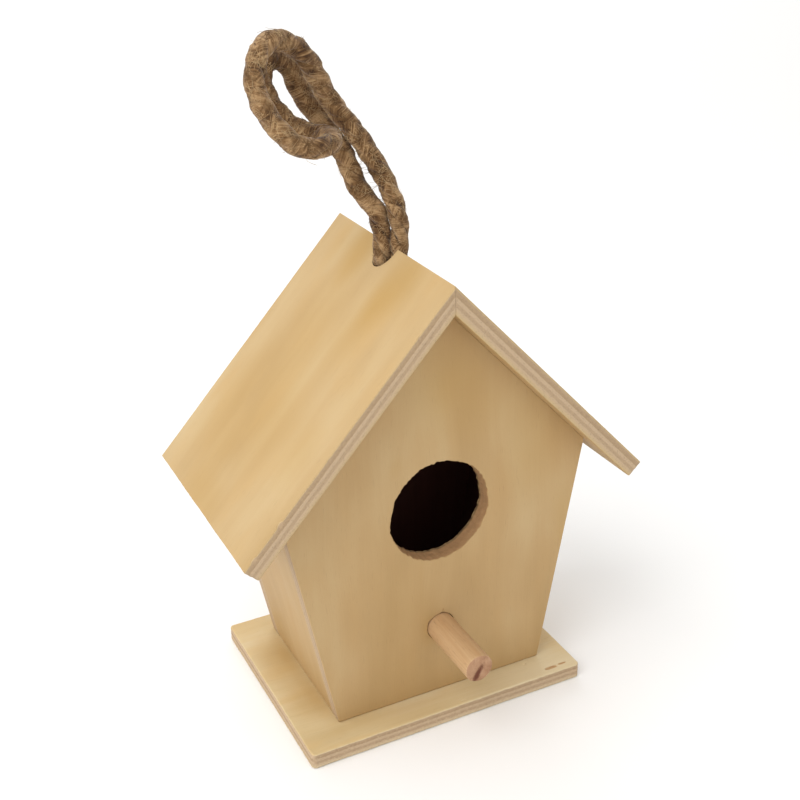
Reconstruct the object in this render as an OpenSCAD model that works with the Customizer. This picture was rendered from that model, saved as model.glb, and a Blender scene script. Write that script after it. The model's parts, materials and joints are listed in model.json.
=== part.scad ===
// A small plywood birdhouse: a peaked box with leaning side walls on a wider base plate, under a
// mitred roof, with a round entry hole, a dowel perch and a twisted rope doubled into a hanging loop.
// Millimetres, +Z up, front towards -Y. The origin is on the base plate's underside, below the ridge
// and midway between the outer faces of the front and back panels.

/* [Sheet] */
// Thickness of the plywood of the walls and the roof
panel_t = 6; // [3:0.5:9]
// Thickness of the base plate
base_t = 5.5; // [3:0.5:9]

/* [Base plate] */
// Width of the base plate, left to right
base_w = 100; // [80:1:140]
// Depth of the base plate, front to back
base_d = 78; // [60:1:120]
// Radius of the base plate's worn upright corners
base_corner_r = 1.5; // [0.5:0.5:5]
// How far the base plate is glued to the left of the middle
base_left = 1.5; // [0:0.5:4]
// How far the base plate is glued to the front of the middle
base_front = 1; // [0:0.5:4]

/* [House] */
// Depth over the outer faces of the front and back panels
house_d = 59; // [45:1:90]
// Width of the front panel where it stands on the base plate
foot_w = 75; // [50:1:100]
// Width of the front panel where the side walls meet the roof
eave_w = 106; // [80:1:140]
// Height of that meeting line above the underside of the base plate
eave_h = 87; // [60:1:120]

/* [Roof] */
// Slope of the roof
roof_pitch = 47; // [30:1:60]
// Length of a roof panel's upper face, ridge to eave
roof_slope_l = 100.5; // [80:0.5:140]
// How far the roof stands out over the front and back panels
roof_overhang = 10.5; // [4:0.5:20]

/* [Entry hole and perch] */
// Diameter of the entry hole
entry_d = 34; // [25:1:45]
// Height of the entry hole's centre
entry_h = 74.5; // [60:0.5:90]
// Diameter of the perch dowel
perch_d = 9.5; // [6:0.5:12]
// How far the perch stands out from the front panel
perch_reach = 25.5; // [15:0.5:40]
// Height of the perch's axis
perch_h = 31; // [20:0.5:50]
// Diameter of the drilled hole that the perch is glued into
perch_bore_d = 9.9; // [6:0.1:13]

/* [Rope] */
// Diameter of the rope
rope_d = 5.4; // [4:0.1:8]
// Diameter of the hole drilled straight down through the ridge
ridge_bore_d = 11; // [9:0.5:15]
// How far behind the middle that hole is
ridge_bore_back = 2; // [0:0.5:10]
// Diameter of the knot under the ridge
knot_d = 18; // [14:1:24]

/* [Hidden] */

$fn = 96;
through = 1;                   // how far a cutter runs past the face that it cuts

sheet_color = [0.87, 0.75, 0.54];
wall_color = [0.76, 0.64, 0.46];
dowel_color = [0.82, 0.65, 0.46];
rope_color = [0.55, 0.45, 0.32];

// The roof's underside meets the tops of all four walls
eave_x = eave_w / 2;
foot_x = foot_w / 2;
slope_rise = tan(roof_pitch);
apex_h = eave_h + eave_x * slope_rise;
ridge_h = apex_h + panel_t / cos(roof_pitch);
roof_d = house_d + 2 * roof_overhang;

// The side walls lean outwards at the angle of the front panel's edges
wall_lean = (eave_x - foot_x) / (eave_h - base_t);
wall_step = panel_t * sqrt(1 + wall_lean * wall_lean);
inner_foot_x = foot_x - wall_step;
inner_top_x = (inner_foot_x + wall_lean * (apex_h - base_t)) / (1 + wall_lean * slope_rise);
inner_top_h = apex_h - inner_top_x * slope_rise;
wall_run = house_d - 2 * panel_t;

knot_flat_h = 136.5;           // the rope's two ends meet the knot here
knot_centre_h = 130.4;

// The rope's centre line: up through the ridge, over to the left, round and back, and down again
rope_route = [
    [2.4, 0.8, 136.5], [2.4, 0.8, 144], [2.4, 0.8, 151], [2.8, 0.6, 157], [2, 1, 163.4],
    [0.4, 2.8, 170.4], [-2.4, 4.8, 177.2], [-6.2, 7, 184.4], [-10.4, 8.6, 190.8], [-14.6, 10.2, 197.2],
    [-17.6, 10.6, 203.2], [-21.6, 9.4, 209.8], [-28, 7.6, 215], [-34.6, 5.4, 215.6], [-39, 2.2, 211.2],
    [-40.8, -0.8, 204.6], [-38.6, -4.4, 197.4], [-35.2, -7.2, 192], [-30.6, -8.6, 188.8], [-25.6, -8.2, 188.4],
    [-20.8, -5, 188.4], [-19.2, 0.6, 188.8], [-21.8, 5.8, 188.6], [-27, 10, 191], [-31.4, 12.8, 196.8],
    [-33, 15, 202.4], [-31.6, 17, 207], [-27.4, 18.6, 208.6], [-23.2, 19.2, 205.6], [-20.8, 18.4, 199.6],
    [-17.6, 16.6, 193.4], [-13.8, 13.4, 186.6], [-10.4, 10.2, 180], [-8.8, 8, 173.6], [-6.6, 6.4, 168.4],
    [-3.4, 4.8, 163.8], [-1.8, 4, 157.4], [-2, 3.5, 151], [-2.2, 3.4, 144], [-2.4, 3.2, 136.5]
];
rope_sides = 10;
rope_steps = 2;                // rings for each stretch between two route points

// A smooth curve through the route's points
function route_point(i) = rope_route[max(0, min(len(rope_route) - 1, i))];
function between(i, t) =
    let (a = route_point(i - 1), b = route_point(i), c = route_point(i + 1), d = route_point(i + 2))
    0.5 * (2 * b + (c - a) * t + (2 * a - 5 * b + 4 * c - d) * t * t + (3 * b - a - 3 * c + d) * t * t * t);
rope_line = concat(
    [for (i = [0 : len(rope_route) - 2], k = [0 : rope_steps - 1]) between(i, k / rope_steps)],
    [rope_route[len(rope_route) - 1]]
);

// Ring frames carried along the curve with as little turning as possible
function unit(v) = v / norm(v);
function heading(i) =
    i == 0 ? [0, 0, 1]
    : i == len(rope_line) - 1 ? [0, 0, -1]
    : unit(rope_line[i + 1] - rope_line[i - 1]);
function carried(side, along) = unit(side - along * (side * along));
function sides_from(i, side) =
    i == len(rope_line) ? []
    : let (next = carried(side, heading(i))) concat([next], sides_from(i + 1, next));
ring_sides = sides_from(0, [1, 0, 0]);

module swept_tube(line, sides, diameter, facets) {
    last = len(line) - 1;
    points = [
        for (i = [0 : last], k = [0 : facets - 1])
            let (angle = 360 * k / facets, across = cross(heading(i), sides[i]))
            line[i] + diameter / 2 * (cos(angle) * sides[i] + sin(angle) * across)
    ];
    skin = [
        for (i = [0 : last - 1], k = [0 : facets - 1])
            let (a = i * facets + k, b = i * facets + (k + 1) % facets)
            [a, a + facets, b + facets, b]
    ];
    start_cap = [for (k = [0 : facets - 1]) k];
    end_cap = [for (k = [facets - 1 : -1 : 0]) last * facets + k];
    polyhedron(points = points, faces = concat([start_cap], skin, [end_cap]), convexity = 10);
}

// A sheet that stands across the house: its outline is drawn in X and Z, its front face is at y
module upright_sheet(y, depth, outline) {
    translate([0, y + depth, 0])
        rotate([90, 0, 0])
            linear_extrude(height = depth)
                polygon(outline);
}

// The five-sided outline that the front and back panels share
gable = [
    [-foot_x, base_t], [foot_x, base_t], [eave_x, eave_h], [0, apex_h], [-eave_x, eave_h]
];

module bore_along_y(diameter, height) {
    translate([0, 0, height])
        rotate([90, 0, 0])
            cylinder(d = diameter, h = house_d + 2 * through, center = true);
}

module base_panel() {
    length_x = base_w - 2 * base_corner_r;
    length_y = base_d - 2 * base_corner_r;
    color(sheet_color)
        translate([-base_left, -base_front, base_t / 2])
            union() {
                cube([base_w, length_y, base_t], center = true);
                cube([length_x, base_d, base_t], center = true);
                for (x = [-1, 1], y = [-1, 1])
                    translate([x * length_x / 2, y * length_y / 2, 0])
                        cylinder(r = base_corner_r, h = base_t, center = true, $fn = 32);
            }
}

module front_panel() {
    color(wall_color)
        difference() {
            upright_sheet(-house_d / 2, panel_t, gable);
            bore_along_y(entry_d, entry_h);
            bore_along_y(perch_bore_d, perch_h);
        }
}

module back_panel() {
    color(wall_color)
        upright_sheet(house_d / 2 - panel_t, panel_t, gable);
}

// side is -1 for the left wall and 1 for the right
module side_panel(side) {
    color(sheet_color)
        upright_sheet(-wall_run / 2, wall_run, [
            [side * foot_x, base_t],
            [side * eave_x, eave_h],
            [side * inner_top_x, inner_top_h],
            [side * inner_foot_x, base_t]
        ]);
}

module left_side_panel() {
    side_panel(-1);
}

module right_side_panel() {
    side_panel(1);
}

// The two roof panels are mitred on the middle plane, and the rope's hole runs down through both
module roof_panel(side) {
    eave_out_x = roof_slope_l * cos(roof_pitch);
    eave_out_h = ridge_h - roof_slope_l * sin(roof_pitch);
    eave_in_x = eave_out_x - panel_t * sin(roof_pitch);
    eave_in_h = eave_out_h - panel_t * cos(roof_pitch);
    color(sheet_color)
        difference() {
            upright_sheet(-roof_d / 2, roof_d, [
                [0, ridge_h],
                [side * eave_out_x, eave_out_h],
                [side * eave_in_x, eave_in_h],
                [0, apex_h]
            ]);
            translate([0, ridge_bore_back, apex_h - 2 * ridge_bore_d])
                cylinder(d = ridge_bore_d, h = 4 * ridge_bore_d);
        }
}

module left_roof_panel() {
    roof_panel(-1);
}

module right_roof_panel() {
    roof_panel(1);
}

module perch_dowel() {
    color(dowel_color)
        translate([0, panel_t - house_d / 2, perch_h])
            rotate([90, 0, 0])
                cylinder(d = perch_d, h = panel_t + perch_reach);
}

module hanging_rope() {
    color(rope_color)
        swept_tube(rope_line, ring_sides, rope_d, rope_sides);
}

module rope_knot() {
    color(rope_color)
        translate([0, ridge_bore_back, knot_centre_h])
            difference() {
                sphere(d = knot_d, $fn = 48);
                translate([-knot_d, -knot_d, knot_flat_h - knot_centre_h])
                    cube(2 * knot_d);
            }
}

base_panel();
front_panel();
back_panel();
left_side_panel();
right_side_panel();
left_roof_panel();
right_roof_panel();
perch_dowel();
hanging_rope();
rope_knot();
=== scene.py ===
# %% [markdown]
# # A small plywood birdhouse
# The house is seven pieces of plywood, a dowel perch and a length of jute rope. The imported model
# gives every piece its place and size. This script gives each one the surface of the real thing:
# softened and slightly torn edges, ply lines, wood grain, and a rope of three twisted strands.

import json
import math

import bpy
import numpy as np
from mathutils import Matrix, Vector
from mathutils.geometry import convex_hull_2d, tessellate_polygon


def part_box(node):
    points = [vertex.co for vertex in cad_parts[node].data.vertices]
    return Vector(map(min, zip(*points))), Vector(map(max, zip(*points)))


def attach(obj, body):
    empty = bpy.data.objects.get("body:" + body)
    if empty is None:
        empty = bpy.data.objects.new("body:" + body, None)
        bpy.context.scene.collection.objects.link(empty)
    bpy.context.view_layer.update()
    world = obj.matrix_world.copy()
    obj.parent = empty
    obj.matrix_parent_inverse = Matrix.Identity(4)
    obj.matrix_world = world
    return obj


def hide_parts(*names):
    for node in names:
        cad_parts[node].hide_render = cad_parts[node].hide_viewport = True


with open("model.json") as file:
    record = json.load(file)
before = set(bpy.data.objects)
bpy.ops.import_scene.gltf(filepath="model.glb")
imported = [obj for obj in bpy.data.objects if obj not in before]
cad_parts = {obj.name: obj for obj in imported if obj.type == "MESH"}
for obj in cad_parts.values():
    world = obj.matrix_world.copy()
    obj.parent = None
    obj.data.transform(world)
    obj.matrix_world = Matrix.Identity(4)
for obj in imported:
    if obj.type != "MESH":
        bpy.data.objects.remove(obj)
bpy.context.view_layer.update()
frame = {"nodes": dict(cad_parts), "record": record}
MM = 0.001
print("pieces in the packed model:", sorted(frame["nodes"]))

# %% [markdown]
# The camera comes first, because the rope has to stay in its view. It stands close to the house, to
# the left of the front and above it, so lines that are level on the house run together strongly.

# %% The camera
def add_object(name, data):
    thing = bpy.data.objects.new(name, data)
    bpy.context.scene.collection.objects.link(thing)
    return thing


camera_data = bpy.data.cameras.new("camera")
camera_data.sensor_width = 36
camera_data.lens = 56.24
camera_data.clip_start = 0.01
camera = add_object("camera", camera_data)
camera.location = (-0.1575, -0.3275, 0.2755)
camera.rotation_euler = [math.radians(angle) for angle in (64.30, 1.18, -26.43)]
bpy.context.scene.camera = camera
print("camera stands at", tuple(camera.location))

# %% [markdown]
# A small craft house is shown on a plain pale table under soft light. One wide lamp overhead to the
# left makes the roof the brightest face, and a pale sky fills the shadows from all round. A third
# lamp lights only the far floor, so that floor and sky meet without a line.

# %% Sky and lamps
def look_at(thing, target):
    thing.rotation_euler = (Vector(target) - thing.location).to_track_quat("-Z", "Y").to_euler()


house_middle = (0, 0, 0.08)


def soft_lamp(name, place, size, watts, target=house_middle):
    lamp_data = bpy.data.lights.new(name, "AREA")
    lamp_data.shape = "DISK"
    lamp_data.size = size
    lamp_data.energy = watts
    lamp = add_object(name, lamp_data)
    lamp.location = place
    look_at(lamp, target)
    print(name, "gives", watts, "W")


soft_lamp("lamp_overhead", (-0.80, -0.20, 0.95), 1.30, 10.0)
soft_lamp("lamp_front", (0.10, -1.20, 0.55), 0.90, 0.8)
soft_lamp("lamp_far_floor", (0.60, 2.30, 1.60), 1.80, 16.0, target=(0.50, 1.70, 0))

sky = bpy.data.worlds.new("pale_sky")
sky.use_nodes = True
sky.node_tree.nodes["Background"].inputs["Color"].default_value = (1.0, 0.99, 0.97, 1)
sky.node_tree.nodes["Background"].inputs["Strength"].default_value = 0.80
bpy.context.scene.world = sky

# Colours are shown as they are, without a film curve, so pale wood keeps its warmth beside white
bpy.context.scene.view_settings.view_transform = "Standard"

# %% [markdown]
# Every material below is a tree of nodes. One helper adds a node, sets it and wires its inputs, and
# the others are its commonest uses, so that a tree reads like a short recipe.

# %% Helpers for node trees
def put(tree, kind, inputs=None, **settings):
    node = tree.nodes.new(kind)
    for name, value in settings.items():
        setattr(node, name, value)
    for socket, value in (inputs or {}).items():
        if isinstance(value, bpy.types.NodeSocket):
            tree.links.new(value, node.inputs[socket])
        else:
            node.inputs[socket].default_value = value
    return node


def math_node(tree, operation, *values):
    return put(tree, "ShaderNodeMath", dict(enumerate(values)), operation=operation).outputs[0]


def vector_math(tree, operation, *values):
    return put(tree, "ShaderNodeVectorMath", dict(enumerate(values)), operation=operation).outputs[0]


def ramp(tree, factor, stops):
    node = put(tree, "ShaderNodeValToRGB", {"Fac": factor})
    marks = node.color_ramp.elements
    while len(marks) < len(stops):
        marks.new(0.5)
    for mark, (at, tone) in zip(marks, stops):
        mark.position = at
        mark.color = (*tone, 1)
    return node.outputs["Color"]


def blend_tones(tree, factor, under, over):
    node = put(tree, "ShaderNodeMix", {"Factor": factor}, data_type="RGBA")
    for socket, value in (("A", under), ("B", over)):
        ends = [s for s in node.inputs if s.name == socket and s.type == "RGBA"]
        if isinstance(value, bpy.types.NodeSocket):
            tree.links.new(value, ends[0])
        else:
            ends[0].default_value = (*value, 1)
    return [s for s in node.outputs if s.type == "RGBA"][0]


def new_material(name):
    material = bpy.data.materials.new(name)
    material.use_nodes = True
    return material, material.node_tree, material.node_tree.nodes["Principled BSDF"]


# %% Helpers for patterns
SEED_STEP = (7.3, 3.1, 1.7)


def toned(share, tone):
    return tuple(share * part for part in tone)


def attribute(tree, name, output="Fac"):
    return put(tree, "ShaderNodeAttribute", attribute_name=name).outputs[output]


def object_millimetres(tree):
    metres = put(tree, "ShaderNodeTexCoord").outputs["Object"]
    return vector_math(tree, "MULTIPLY", metres, (1000, 1000, 1000))


def length_node(tree, vector):
    return put(tree, "ShaderNodeVectorMath", {0: vector}, operation="LENGTH").outputs["Value"]


def patchy(tree, place, scale, seed, detail=3.0, roughness=0.5):
    """Noise on stretched coordinates: scale is how often it changes along each axis. Each seed
    reads another region of the same noise."""
    stretched = vector_math(tree, "MULTIPLY", place, scale)
    moved = vector_math(tree, "ADD", stretched, tuple(seed * step for step in SEED_STEP))
    node = put(tree, "ShaderNodeTexNoise",
               {"Vector": moved, "Scale": 1.0, "Detail": detail, "Roughness": roughness})
    return node.outputs["Fac"]


def fade(tree, value, start, end):
    """0 at the start value and 1 at the end value, smoothly."""
    node = put(tree, "ShaderNodeMapRange", {"Value": value, "From Min": start, "From Max": end},
               interpolation_type="SMOOTHSTEP")
    return node.outputs[0]


# %% The floor
floor_reach = 3
floor_ways = ((-1, -1), (1, -1), (1, 1), (-1, 1))
floor_mesh = bpy.data.meshes.new("floor")
floor_mesh.from_pydata([(floor_reach * x, floor_reach * y, 0) for x, y in floor_ways], [], [(0, 1, 2, 3)])
floor = add_object("floor", floor_mesh)
floor.location.z = -0.0002
pale, pale_tree, pale_shader = new_material("pale_table")
pale_shader.inputs["Base Color"].default_value = (0.92, 0.92, 0.92, 1)
pale_shader.inputs["Roughness"].default_value = 0.9
floor.data.materials.append(pale)
print("floor:", 2 * floor_reach, "m wide")

# %% [markdown]
# ## The rope
# A natural jute rope is three strands laid round each other. Here it is doubled: both ends are
# knotted under the ridge, and the closed end has curled over. The centre line is a smooth curve
# through a list of points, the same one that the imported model's plain tube follows.

# %% The rope's centre line
rope_diameter = 5.4 * MM
rope_route = MM * np.array([
    (2.4, 0.8, 136.5), (2.4, 0.8, 144), (2.4, 0.8, 151), (2.8, 0.6, 157),
    (2, 1, 163.4), (0.4, 2.8, 170.4), (-2.4, 4.8, 177.2), (-6.2, 7, 184.4),
    (-10.4, 8.6, 190.8), (-14.6, 10.2, 197.2), (-17.6, 10.6, 203.2), (-21.6, 9.4, 209.8),
    (-28, 7.6, 215), (-34.6, 5.4, 215.6), (-39, 2.2, 211.2), (-40.8, -0.8, 204.6),
    (-38.6, -4.4, 197.4), (-35.2, -7.2, 192), (-30.6, -8.6, 188.8), (-25.6, -8.2, 188.4),
    (-20.8, -5, 188.4), (-19.2, 0.6, 188.8), (-21.8, 5.8, 188.6), (-27, 10, 191),
    (-31.4, 12.8, 196.8), (-33, 15, 202.4), (-31.6, 17, 207), (-27.4, 18.6, 208.6),
    (-23.2, 19.2, 205.6), (-20.8, 18.4, 199.6), (-17.6, 16.6, 193.4), (-13.8, 13.4, 186.6),
    (-10.4, 10.2, 180), (-8.8, 8, 173.6), (-6.6, 6.4, 168.4), (-3.4, 4.8, 163.8),
    (-1.8, 4, 157.4), (-2, 3.5, 151), (-2.2, 3.4, 144), (-2.4, 3.2, 136.5),
])


def smooth_line(route, steps):
    """A curve that passes through every point of the route, with steps pieces between two points."""
    padded = np.vstack([route[:1], route, route[-1:]])
    line = []
    for a, b, c, d in zip(padded, padded[1:], padded[2:], padded[3:]):
        for t in np.arange(steps) / steps:
            line.append(0.5 * (2 * b + (c - a) * t + (2 * a - 5 * b + 4 * c - d) * t ** 2
                               + (3 * b - a - 3 * c + d) * t ** 3))
    line.append(route[-1])
    return np.array(line)


def length_of(line):
    return float(np.linalg.norm(np.diff(line, axis=0), axis=1).sum())


line_steps = 8
rope_line = smooth_line(rope_route, line_steps)
print(f"rope: {len(rope_route)} points, {length_of(rope_line) * 1000:.0f} mm long")

# %% How full the rope is: squeezed in the ridge, slack and matted in the curl
# Each mark is a place, counted in points of the route, and the fullness there
fullness_marks = [(0, 0.89), (2, 0.92), (3, 0.96), (5, 0.98), (6, 1.05), (7, 1.15), (9, 1.17), (12, 1.13),
                  (20, 1.14), (27, 1.10), (30, 1.17), (32, 1.22), (34, 1.16), (35, 1.06), (36, 0.97),
                  (37, 0.92), (39, 0.89)]
rope_fullness = np.interp(np.arange(len(rope_line)) / line_steps, *zip(*fullness_marks))
print(f"fullness from {rope_fullness.min():.2f} to {rope_fullness.max():.2f}")

# %% [markdown]
# Geometry Nodes can lay the strands: copy the centre line three times, push each copy sideways by
# an angle that grows along the rope, and sweep a small circle along it. A tree is better than a
# mesh made by hand, because the lay, the number of strands and the fibres stay adjustable. The
# fibres of a strand run against the lay, and they are raised as fine ridges in the mesh.

# %% Helpers for Geometry Nodes trees
def geometry_tree(name, sizes):
    """A tree with one geometry going in, named number inputs, and one geometry coming out."""
    tree = bpy.data.node_groups.new(name, "GeometryNodeTree")
    tree.interface.new_socket("Geometry", in_out="INPUT", socket_type="NodeSocketGeometry")
    for label, value in sizes.items():
        kind = "NodeSocketInt" if isinstance(value, int) else "NodeSocketFloat"
        socket = tree.interface.new_socket(label, in_out="INPUT", socket_type=kind)
        socket.default_value = value
    tree.interface.new_socket("Geometry", in_out="OUTPUT", socket_type="NodeSocketGeometry")
    return tree, tree.nodes.new("NodeGroupInput").outputs


def finish_tree(tree, geometry, material):
    solid = put(tree, "GeometryNodeRealizeInstances", {0: geometry}).outputs[0]
    coated = put(tree, "GeometryNodeSetMaterial", {"Geometry": solid, "Material": material})
    put(tree, "NodeGroupOutput", {0: coated.outputs[0]})


def grow(name, start_mesh, tree, sizes):
    """Runs a tree on a mesh and returns a plain mesh object with no modifier left on it."""
    seedling = add_object(name + "_seedling", start_mesh)
    modifier = seedling.modifiers.new("grow", "NODES")
    modifier.node_group = tree
    for item in tree.interface.items_tree:
        if item.in_out == "INPUT" and item.name in sizes:
            modifier[item.identifier] = sizes[item.name]
    ready = seedling.evaluated_get(bpy.context.evaluated_depsgraph_get())
    mesh = bpy.data.meshes.new_from_object(ready)
    mesh.name = name
    bpy.data.objects.remove(seedling)
    triangles = sum(len(face.vertices) - 2 for face in mesh.polygons)
    print(f"{name}: {triangles} triangles")
    return add_object(name, mesh)


# %% [markdown]
# Jute is a dull fibre that changes from straw to brown. Most of it winds round its strand one way,
# but handling mats it, and then fibres lie in several directions. So the material mixes streaks that
# wind at three pitches, and darkens the grooves between the strands, where little light gets in.

# %% Jute
# The length of strand in which each set of fibres winds once round it, in metres. Below zero it
# winds the other way
WINDINGS = {"fibre": 0.013, "fibre_cross": -0.008, "fibre_round": 0.0035}


def jute_material(name, dark, middle, light):
    material, tree, shader = new_material(name)
    place = object_millimetres(tree)
    layers = [patchy(tree, attribute(tree, winding, "Vector"), (0.10, 2.4, 2.4), number + 1.0,
                     detail=4.0, roughness=0.60) for number, winding in enumerate(WINDINGS)]
    streak = layers[0]
    for area_seed, layer in zip((5.0, 6.0), layers[1:]):
        area = fade(tree, patchy(tree, place, (0.17, 0.17, 0.17), area_seed, detail=2.0), 0.47, 0.55)
        mix = put(tree, "ShaderNodeMix", {0: area, 2: streak, 3: layer}, data_type="FLOAT")
        streak = mix.outputs[0]
    tuft = patchy(tree, place, (0.12, 0.12, 0.12), 9.0, detail=1.0)
    lump = patchy(tree, place, (0.36, 0.36, 0.36), 10.0, detail=3.0)
    mixed = math_node(tree, "MULTIPLY_ADD", tuft, 0.26, math_node(tree, "MULTIPLY", streak, 0.50))
    mixed = math_node(tree, "MULTIPLY_ADD", lump, 0.24, mixed)
    tone = ramp(tree, mixed, [(0.40, dark), (0.485, middle), (0.60, light)])
    groove = fade(tree, attribute(tree, "reach_out"), 0.480, 0.400)
    tone = blend_tones(tree, math_node(tree, "MULTIPLY", groove, 0.92), tone, toned(0.40, dark))
    tree.links.new(tone, shader.inputs["Base Color"])
    bump = put(tree, "ShaderNodeBump", {"Height": streak, "Strength": 0.7, "Distance": 0.0003})
    tree.links.new(bump.outputs[0], shader.inputs["Normal"])
    shader.inputs["Roughness"].default_value = 0.9
    shader.inputs["Sheen Weight"].default_value = 0.25
    shader.inputs["Sheen Roughness"].default_value = 0.5
    shader.inputs["Specular IOR Level"].default_value = 0.2
    print(f"{name}: {len(tree.nodes)} nodes")
    return material


jute = jute_material("twisted_jute", (0.048, 0.020, 0.006), (0.160, 0.081, 0.029), (0.44, 0.278, 0.136))


# %% Loose hairs are thin, so each shows as pale straw or as brown
def hair_material(name, brown, straw):
    material, tree, shader = new_material(name)
    place = put(tree, "ShaderNodeTexCoord").outputs["Object"]
    tone = patchy(tree, place, (190, 190, 190), 3.0, detail=3.0, roughness=0.7)
    tree.links.new(ramp(tree, tone, [(0.42, brown), (0.58, straw)]), shader.inputs["Base Color"])
    shader.inputs["Roughness"].default_value = 0.8
    shader.inputs["Specular IOR Level"].default_value = 0.25
    print(f"{name}: {len(tree.nodes)} nodes")
    return material


jute_hair = hair_material("jute_hairs", (0.18, 0.098, 0.040), (0.54, 0.375, 0.200))


# %% Helpers for the rope's trees
def scaled(tree, vector, factor):
    return put(tree, "ShaderNodeVectorMath", {0: vector, "Scale": factor}, operation="SCALE").outputs[0]


def named(tree, name, kind="FLOAT"):
    return put(tree, "GeometryNodeInputNamedAttribute", {"Name": name}, data_type=kind).outputs[0]


def noted(tree, geometry, name, value, kind="FLOAT"):
    inputs = {"Geometry": geometry, "Name": name, "Value": value}
    return put(tree, "GeometryNodeStoreNamedAttribute", inputs, data_type=kind, domain="POINT").outputs[0]


def mapped(tree, value, start, end, low, high):
    inputs = {"Value": value, "From Min": start, "From Max": end, "To Min": low, "To Max": high}
    return put(tree, "ShaderNodeMapRange", inputs).outputs[0]


def position(tree):
    return put(tree, "GeometryNodeInputPosition").outputs[0]


def along_curve(tree, output="Length"):
    return put(tree, "GeometryNodeSplineParameter").outputs[output]


def shifted(tree, geometry, **where):
    inputs = {"Geometry": geometry, **where}
    return put(tree, "GeometryNodeSetPosition", inputs).outputs[0]


def even_noise(tree, vector, scale, detail, output="Fac"):
    inputs = {"Vector": vector, "Scale": scale, "Detail": detail}
    return put(tree, "ShaderNodeTexNoise", inputs).outputs[output]


# %% The tree that lays three strands into a rope
def laid_rope_tree():
    sizes = {"Strands": 3, "Diameter": 0.0054, "Lay": 0.021, "Step": 0.00045, "Sides": 26,
             "Ridge height": 0.0007, "Lump height": 0.0009, "Lumps per metre": 240.0}
    tree, given = geometry_tree("laid_rope", sizes)
    line = put(tree, "GeometryNodeMeshToCurve", {"Mesh": given["Geometry"]}).outputs[0]
    even = put(tree, "GeometryNodeResampleCurve", {"Curve": line, "Length": given["Step"]}, mode="LENGTH")
    copies = put(tree, "GeometryNodeDuplicateElements",
                 {"Geometry": even.outputs[0], "Amount": given["Strands"]}, domain="SPLINE")
    which = copies.outputs["Duplicate Index"]
    strands = noted(tree, copies.outputs["Geometry"], "middle", position(tree), "FLOAT_VECTOR")

    # The angle of each strand round the centre line, turning left-handed as a jute rope's does
    turns = math_node(tree, "DIVIDE", along_curve(tree), given["Lay"])
    share = math_node(tree, "DIVIDE", which, given["Strands"])
    angle = math_node(tree, "MULTIPLY", math_node(tree, "SUBTRACT", share, turns), 2 * math.pi)
    side = put(tree, "GeometryNodeInputNormal").outputs[0]
    ahead = put(tree, "GeometryNodeInputTangent").outputs[0]
    across = vector_math(tree, "CROSS_PRODUCT", ahead, side)
    outwards = vector_math(tree, "ADD", scaled(tree, side, math_node(tree, "COSINE", angle)),
                           scaled(tree, across, math_node(tree, "SINE", angle)))

    # Where the rope is full its strands are thick and lie close, so the lay hardly shows. Where it
    # is squeezed they lie close too. Both distances are shares of the rope's diameter
    fullness = named(tree, "fullness")
    thick = given["Diameter"]
    matted = mapped(tree, fullness, 0.96, 1.12, 0.195, 0.15)
    squeezed = mapped(tree, fullness, 0.84, 0.92, 0.17, 0.195)
    reach = math_node(tree, "MULTIPLY", thick, math_node(tree, "MINIMUM", matted, squeezed))
    strand_radius = mapped(tree, fullness, 0.84, 1.24, 0.325, 0.465)
    strands = shifted(tree, strands, Offset=scaled(tree, outwards, reach))
    strands = noted(tree, strands, "strand_way",
                    put(tree, "GeometryNodeInputTangent").outputs[0], "FLOAT_VECTOR")
    # The patterns of two strands are read far apart, so that no two look alike
    apart = 0.37
    strands = noted(tree, strands, "strand_at",
                    math_node(tree, "MULTIPLY_ADD", which, apart, along_curve(tree)))
    section = put(tree, "GeometryNodeCurvePrimitiveCircle",
                  {"Resolution": given["Sides"], "Radius": thick}).outputs[0]
    section = noted(tree, section, "round_at", along_curve(tree, "Factor"))
    skin = put(tree, "GeometryNodeCurveToMesh",
               {"Curve": strands, "Profile Curve": section, "Fill Caps": True,
                "Scale": strand_radius}).outputs[0]

    # Fibres wind round each strand at several pitches; the first one is also raised in ridges
    strand_at, round_at = named(tree, "strand_at"), named(tree, "round_at")
    along_mm = math_node(tree, "MULTIPLY", strand_at, 1000)
    for winding, pitch in WINDINGS.items():
        wound = math_node(tree, "ADD", round_at, math_node(tree, "DIVIDE", strand_at, pitch))
        turn = math_node(tree, "MULTIPLY", wound, 2 * math.pi)
        fibre = put(tree, "ShaderNodeCombineXYZ", {0: along_mm, 1: math_node(tree, "COSINE", turn),
                                                   2: math_node(tree, "SINE", turn)}).outputs[0]
        skin = noted(tree, skin, winding, fibre, "FLOAT_VECTOR")
    ridge_place = vector_math(tree, "MULTIPLY", named(tree, "fibre", "FLOAT_VECTOR"), (0.08, 1.7, 1.7))
    ridges = even_noise(tree, ridge_place, 1.0, 3.0)
    lumps = even_noise(tree, scaled(tree, position(tree), given["Lumps per metre"]), 1.0, 2.0)
    height = math_node(tree, "MULTIPLY", math_node(tree, "SUBTRACT", ridges, 0.5), given["Ridge height"])
    height = math_node(tree, "MULTIPLY_ADD", math_node(tree, "SUBTRACT", lumps, 0.5),
                       given["Lump height"], height)
    raised = scaled(tree, put(tree, "GeometryNodeInputNormal").outputs[0], height)
    skin = shifted(tree, skin, Offset=raised)
    middle = named(tree, "middle", "FLOAT_VECTOR")
    distance = put(tree, "ShaderNodeVectorMath", {0: position(tree), 1: middle},
                   operation="DISTANCE").outputs["Value"]
    skin = noted(tree, skin, "reach_out", math_node(tree, "DIVIDE", distance, thick))
    skin = put(tree, "GeometryNodeSetShadeSmooth", {"Geometry": skin, "Shade Smooth": True}).outputs[0]
    finish_tree(tree, skin, jute)
    print(f"laid_rope: {len(tree.nodes)} nodes")
    return tree


rope_tree = laid_rope_tree()


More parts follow.
